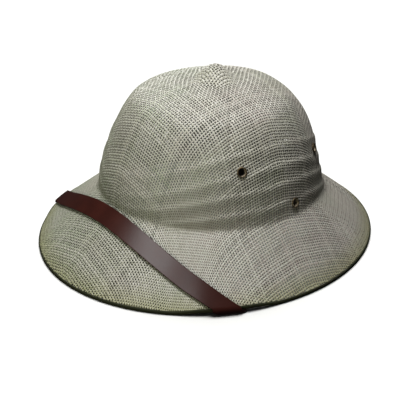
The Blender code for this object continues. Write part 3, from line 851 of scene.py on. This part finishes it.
# The sheet's outer and inner side, coarser and cut off at the brim's edge, for the strap to be laid on.
COARSE_COLUMNS = 4
COARSE_ROWS = 8
edge_row = round(SHEET_ROWS * BRIM_END / SHEET_END)
coarse = (slice(None, None, COARSE_COLUMNS), slice(0, edge_row + 1, COARSE_ROWS))
outer_side, inner_side = sheet[coarse], (sheet - sheet_facing * WALL)[coarse]
columns, rows = outer_side.shape[:2]
corner = (np.arange(columns - 1)[:, None] * rows + np.arange(rows - 1)).ravel()
quads = np.stack([corner, corner + 1, corner + rows + 1, corner + rows], -1)
brim_sides = BVHTree.FromPolygons(
    np.concatenate([outer_side, inner_side]).reshape(-1, 3).tolist(),
    np.concatenate([quads, quads + columns * rows]).tolist(),
)


def laid(plan, from_below):
    """A point that clears the brim over or under a plan position, a hair off the sheet's own joint at the rear."""
    start = Vector((plan.x + HAIR, plan.y, -1.0 if from_below else 1.0))
    way = Vector((0, 0, 1.0 if from_below else -1.0))
    place, normal, _, _ = brim_sides.ray_cast(start, way)
    if normal.dot(way) > 0:
        normal = -normal
    return place + normal * STRAP_GAP


strap_lines = []
for side in STRAP_LINES:
    top_end = crossing(over_run, side, OVER_EDGE, STRAP_TOP_INSET)
    line = [laid(plan_offset(over_run, top_end * k / STRAP_TOP_STEPS, side), from_below=False)
            for k in range(STRAP_TOP_STEPS + 1)]
    rim = plan_offset(over_run, crossing(over_run, side, OVER_EDGE, 0.0), side)
    line += fold_points(math.atan2(rim.x / BRIM_HALF_WIDTH, -rim.y / BRIM_HALF_LENGTH))
    begin = crossing(under_run, -side, UNDER_EDGE, STRAP_RETURN_INSET)
    line += [laid(plan_offset(under_run, begin + (1 - begin) * k / STRAP_RETURN_STEPS, -side), from_below=True)
             for k in range(STRAP_RETURN_STEPS + 1)]
    # Both ends meet the other half on the middle plane.
    line[0].x = 0.0
    line[-1].x = 0.0
    strap_lines.append(line)

# Pigmented cowhide: red-brown in clouds about 17 mm across, and waxed, so that it takes a broad grey sheen where it
# faces the light. The grain's pebbles are about 0.7 mm across.
HIDE_CLOUD = 16.667 * MM
GRAIN = 0.7 * MM
GRAIN_RELIEF = 0.12 * MM
LEATHER_RED = colour("#55271d")
LEATHER_BROWN = colour("#391b16")
WAXED_ROUGHNESS = (0.28, 0.38)
leather, tree, shader = new_material("waxed_cowhide")
spot = add_node(tree, "ShaderNodeTexCoord")
cloud = add_node(tree, "ShaderNodeTexNoise", {
    "Vector": spot.outputs["Object"], "Scale": 1 / HIDE_CLOUD, "Detail": 4.0})
hide = add_node(tree, "ShaderNodeMix", {
    "Factor": cloud.outputs["Fac"], "A": LEATHER_BROWN, "B": LEATHER_RED}, data_type="RGBA")
pebbles = add_node(tree, "ShaderNodeTexVoronoi", {"Vector": spot.outputs["Object"], "Scale": 1 / GRAIN})
bump = add_node(tree, "ShaderNodeBump", {
    "Height": pebbles.outputs["Distance"], "Strength": 0.2, "Distance": GRAIN_RELIEF})
tree.links.new(hide.outputs["Result"], shader.inputs["Base Color"])
tree.links.new(bump.outputs["Normal"], shader.inputs["Normal"])
gloss = add_node(tree, "ShaderNodeMapRange", {
    "Value": cloud.outputs["Fac"], "To Min": WAXED_ROUGHNESS[0], "To Max": WAXED_ROUGHNESS[1]})
tree.links.new(gloss.outputs["Result"], shader.inputs["Roughness"])
shader.inputs["Specular IOR Level"].default_value = 0.35

# Edge paint: black and dull on the cut edges, with the hide's brown in nicks about 1 mm across.
EDGE_NICK = 1.111 * MM
EDGE_BLACK = colour("#0f0c0a")
edge_paint, tree, shader = new_material("edge_paint")
spot = add_node(tree, "ShaderNodeTexCoord")
nicks = add_node(tree, "ShaderNodeTexNoise", {
    "Vector": spot.outputs["Object"], "Scale": 1 / EDGE_NICK, "Detail": 2.0})
paint = add_node(tree, "ShaderNodeMix", {
    "Factor": nicks.outputs["Fac"], "A": EDGE_BLACK, "B": LEATHER_BROWN}, data_type="RGBA")
tree.links.new(paint.outputs["Result"], shader.inputs["Base Color"])
shader.inputs["Roughness"].default_value = 0.6

count = len(strap_lines[0])
corner = (np.arange(len(strap_lines) - 1)[:, None] * count + np.arange(count - 1)).ravel()
quads = np.stack([corner, corner + count, corner + count + 1, corner + 1], -1)
strap = mesh_object("leather_strap", np.array(strap_lines).reshape(-1, 3), quads, leather)
strap.data.materials.append(edge_paint)
mirror = strap.modifiers.new("other half", "MIRROR")
mirror.merge_threshold = 0.05 * MM
thickness = strap.modifiers.new("thickness", "SOLIDIFY")
thickness.thickness = STRAP_THICKNESS
thickness.offset = 1.0
thickness.material_offset_rim = 1
edges = strap.modifiers.new("rubbed edges", "BEVEL")
edges.width = STRAP_EDGE_ROUND
edges.segments = 2
edges.limit_method = "ANGLE"
edges.angle_limit = math.radians(60)
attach(strap, "root")
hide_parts("chin_strap")


# Vent eyelets
# Small pressed brass eyelets, three a side. Each has a domed lip on the straw and a sleeve through it, turned over
# inside. They have gone dark, and are rubbed brighter in patches.
EYELET_BORE = 3.3 * MM
EYELET_SLEEVE = 0.4 * MM
EYELET_MOUTH = 0.16 * MM
EYELET_LIP = 0.8 * MM
EYELET_LIP_TURN = 0.56 * MM
EYELET_SEAT = 0.45 * MM
EYELET_COLUMNS = 48

# Pressed brass, tarnished brown-black: a dull metal, rubbed lighter in patches about 1.4 mm across.
RUBBED_PATCH = 1.4286 * MM
RUBBED_LIMITS = (0.4, 0.7)
BRASS_DARK = colour("#4a4030")
BRASS_RUBBED = colour("#8a7b5e")
brass, tree, shader = new_material("blackened_brass")
spot = add_node(tree, "ShaderNodeTexCoord")
patches = add_node(tree, "ShaderNodeTexNoise", {
    "Vector": spot.outputs["Object"], "Scale": 1 / RUBBED_PATCH, "Detail": 3.0})
rub = add_node(tree, "ShaderNodeMapRange", {
    "Value": patches.outputs["Fac"], "From Min": RUBBED_LIMITS[0], "From Max": RUBBED_LIMITS[1]})
tarnish = add_node(tree, "ShaderNodeMix", {
    "Factor": rub.outputs["Result"], "A": BRASS_DARK, "B": BRASS_RUBBED}, data_type="RGBA")
tree.links.new(tarnish.outputs["Result"], shader.inputs["Base Color"])
shader.inputs["Metallic"].default_value = 1.0
shader.inputs["Roughness"].default_value = 0.6

# Inside the sleeve the brass is painted pale, in patches about 1 mm across, so that its lower wall shows as a pale
# crescent in the dark hole: a painted highlight.
SLEEVE_HIGHLIGHT_PATCH = 1.111 * MM
BRASS_SLEEVE_HIGHLIGHT = colour("#e0d6c0")
sleeve_highlight_brass, tree, shader = new_material("painted_sleeve_highlight")
spot = add_node(tree, "ShaderNodeTexCoord")
patches = add_node(tree, "ShaderNodeTexNoise", {
    "Vector": spot.outputs["Object"], "Scale": 1 / SLEEVE_HIGHLIGHT_PATCH, "Detail": 2.0})
# Painted highlight: the sleeve's inside is mixed towards a near-white brass.
sleeve_highlight = add_node(tree, "ShaderNodeMix", {
    "Factor": patches.outputs["Fac"], "A": BRASS_RUBBED, "B": BRASS_SLEEVE_HIGHLIGHT}, data_type="RGBA")
tree.links.new(sleeve_highlight.outputs["Result"], shader.inputs["Base Color"])
shader.inputs["Metallic"].default_value = 1.0
shader.inputs["Roughness"].default_value = 0.7


def eyelet_profile():
    """Radius and height round the eyelet's section."""
    sleeve = EYELET_BORE + EYELET_SLEEVE
    back = -(WALL + EYELET_SEAT)
    return np.array([
        (EYELET_BORE + EYELET_MOUTH, 0, EYELET_SEAT + EYELET_LIP),
        (EYELET_RADIUS - EYELET_LIP_TURN, 0, EYELET_SEAT + EYELET_LIP),
        (EYELET_RADIUS, 0, EYELET_SEAT),
        (sleeve, 0, EYELET_SEAT),
        (sleeve, 0, back),
        (EYELET_RADIUS - EYELET_SLEEVE, 0, back),
        (EYELET_RADIUS - EYELET_SLEEVE, 0, back - EYELET_LIP),
        (EYELET_BORE, 0, back - EYELET_LIP),
    ])


profile = round_off(eyelet_profile())
middle = (EYELET_SEAT + EYELET_LIP + eyelet_profile()[:, 2].min()) / 2
turns = np.linspace(0, 2 * np.pi, EYELET_COLUMNS, endpoint=False)[:, None]
after = np.roll(profile, -1, axis=0)
inside_sleeve = np.maximum(profile[:, 0], after[:, 0]) < EYELET_BORE + EYELET_SLEEVE / 2
turned = np.stack([profile[:, 0] * np.cos(turns), profile[:, 0] * np.sin(turns),
                   profile[:, 2] * np.ones_like(turns)], -1)
for name, centre in zip(EYELET_NAMES, EYELET_CENTRES):
    nearest = np.unravel_index(np.argmin(np.linalg.norm(plain_sheet - centre, axis=-1)), plain_sheet.shape[:2])
    facing = Vector(plain_normals[nearest])
    eyelet = ring_object(f"vent_{name}", turned, brass)
    eyelet.data.materials.append(sleeve_highlight_brass)
    slots = np.tile(inside_sleeve, EYELET_COLUMNS).astype(np.int32)
    eyelet.data.polygons.foreach_set("material_index", slots)
    turn = facing.to_track_quat("Z", "Y").to_matrix().to_4x4()
    eyelet.data.transform(Matrix.Translation(Vector(centre) - facing * middle) @ turn)
    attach(eyelet, "root")
    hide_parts(f"eyelet_{name}")


# Floor and light
# A plain pale sweep. A wide lamp from behind washes the sweep, but not the patch under the hat. One softbox lights the
# hat from close overhead, a warmer one fills it from low in front and one from behind. The last gives the strap sheen.
FLOOR_SIZE = 40.0
PATCH_SHARE = 0.93
PATCH_STEPS = 96
sweep, tree, shader = new_material("pale_sweep")
shader.inputs["Base Color"].default_value = colour("#c4c4c2")
shader.inputs["Roughness"].default_value = 0.9
shader.inputs["Specular IOR Level"].default_value = 0.1


def floor_ring(name, inner, outer):
    """A flat part of the floor between two ovals, given as shares of the brim's half width and length."""
    turns = np.linspace(0, 2 * np.pi, PATCH_STEPS, endpoint=False)
    half = np.array([BRIM_HALF_WIDTH, BRIM_HALF_LENGTH])
    circle = np.stack([np.cos(turns), np.sin(turns)], -1)
    rings = np.concatenate([circle * inner * half, circle * outer * half])
    k = np.arange(PATCH_STEPS)
    after = (k + 1) % PATCH_STEPS
    faces = np.stack([k, k + PATCH_STEPS, after + PATCH_STEPS, after], -1)
    part = mesh_object(name, np.column_stack([rings, np.zeros(len(rings))]), faces, sweep)
    part.visible_diffuse = False
    part.visible_glossy = False
    return part


SOFTBOXES = [
    {"name": "overhead", "azimuth": 40.0, "elevation": 80.0, "distance": 0.75, "size": 0.3, "power": 6.3,
     "colour": "#f8f8ff"},
    {"name": "fill", "azimuth": 20.0, "elevation": 8.0, "distance": 1.2, "size": 0.6, "power": 4.9,
     "colour": "#ffffeb"},
    {"name": "back", "azimuth": -120.0, "elevation": 30.0, "distance": 1.0, "size": 0.5, "power": 4.0,
     "colour": "#ffffff"},
    {"name": "sheen", "azimuth": -1.0, "elevation": 62.0, "distance": 1.2, "size": 0.66, "power": 8.3,
     "colour": "#ffffff"},
]
WASH_AZIMUTH = CAMERA_AZIMUTH + math.radians(180)
WASH_ELEVATION = math.radians(65)
WASH_DISTANCE = 3.0
WASH_POWER = 7.2
WASH_SPREAD = math.radians(50)
SKY_STRENGTH = 0.03
lit = {name: bpy.data.collections.new(f"lit_by_{name}") for name in ("overhead", "fill", "back", "sheen", "wash")}
for obj in scene.objects:
    if obj.type == "MESH":
        for name in ("sheen",) if obj is strap else ("overhead", "fill", "back"):
            lit[name].objects.link(obj)
floor_ring("floor_under_hat", 0.0, PATCH_SHARE)
lit["wash"].objects.link(floor_ring("floor", PATCH_SHARE, FLOOR_SIZE / 2 / BRIM_HALF_WIDTH))


def add_lamp(name, kind, away, distance):
    """A lamp that looks at the hat's middle from a distance, and lights its own collection."""
    lamp = bpy.data.lights.new(name, kind)
    obj = bpy.data.objects.new(name, lamp)
    scene.collection.objects.link(obj)
    obj.location = away * distance
    aim(obj, -away)
    obj.light_linking.receiver_collection = lit[name]
    return lamp


for box in SOFTBOXES:
    away = direction(math.radians(box["azimuth"]), math.radians(box["elevation"]))
    lamp = add_lamp(box["name"], "AREA", away, box["distance"])
    lamp.shape = "DISK"
    lamp.size = box["size"]
    lamp.energy = box["power"]
    lamp.color = colour(box["colour"])[:3]
wash = add_lamp("wash", "SUN", direction(WASH_AZIMUTH, WASH_ELEVATION), WASH_DISTANCE)
wash.angle = WASH_SPREAD
wash.energy = WASH_POWER

world = bpy.data.worlds.new("studio")
world.use_nodes = True
world.node_tree.nodes["Background"].inputs["Color"].default_value = colour("#ffffff")
world.node_tree.nodes["Background"].inputs["Strength"].default_value = SKY_STRENGTH
scene.world = world
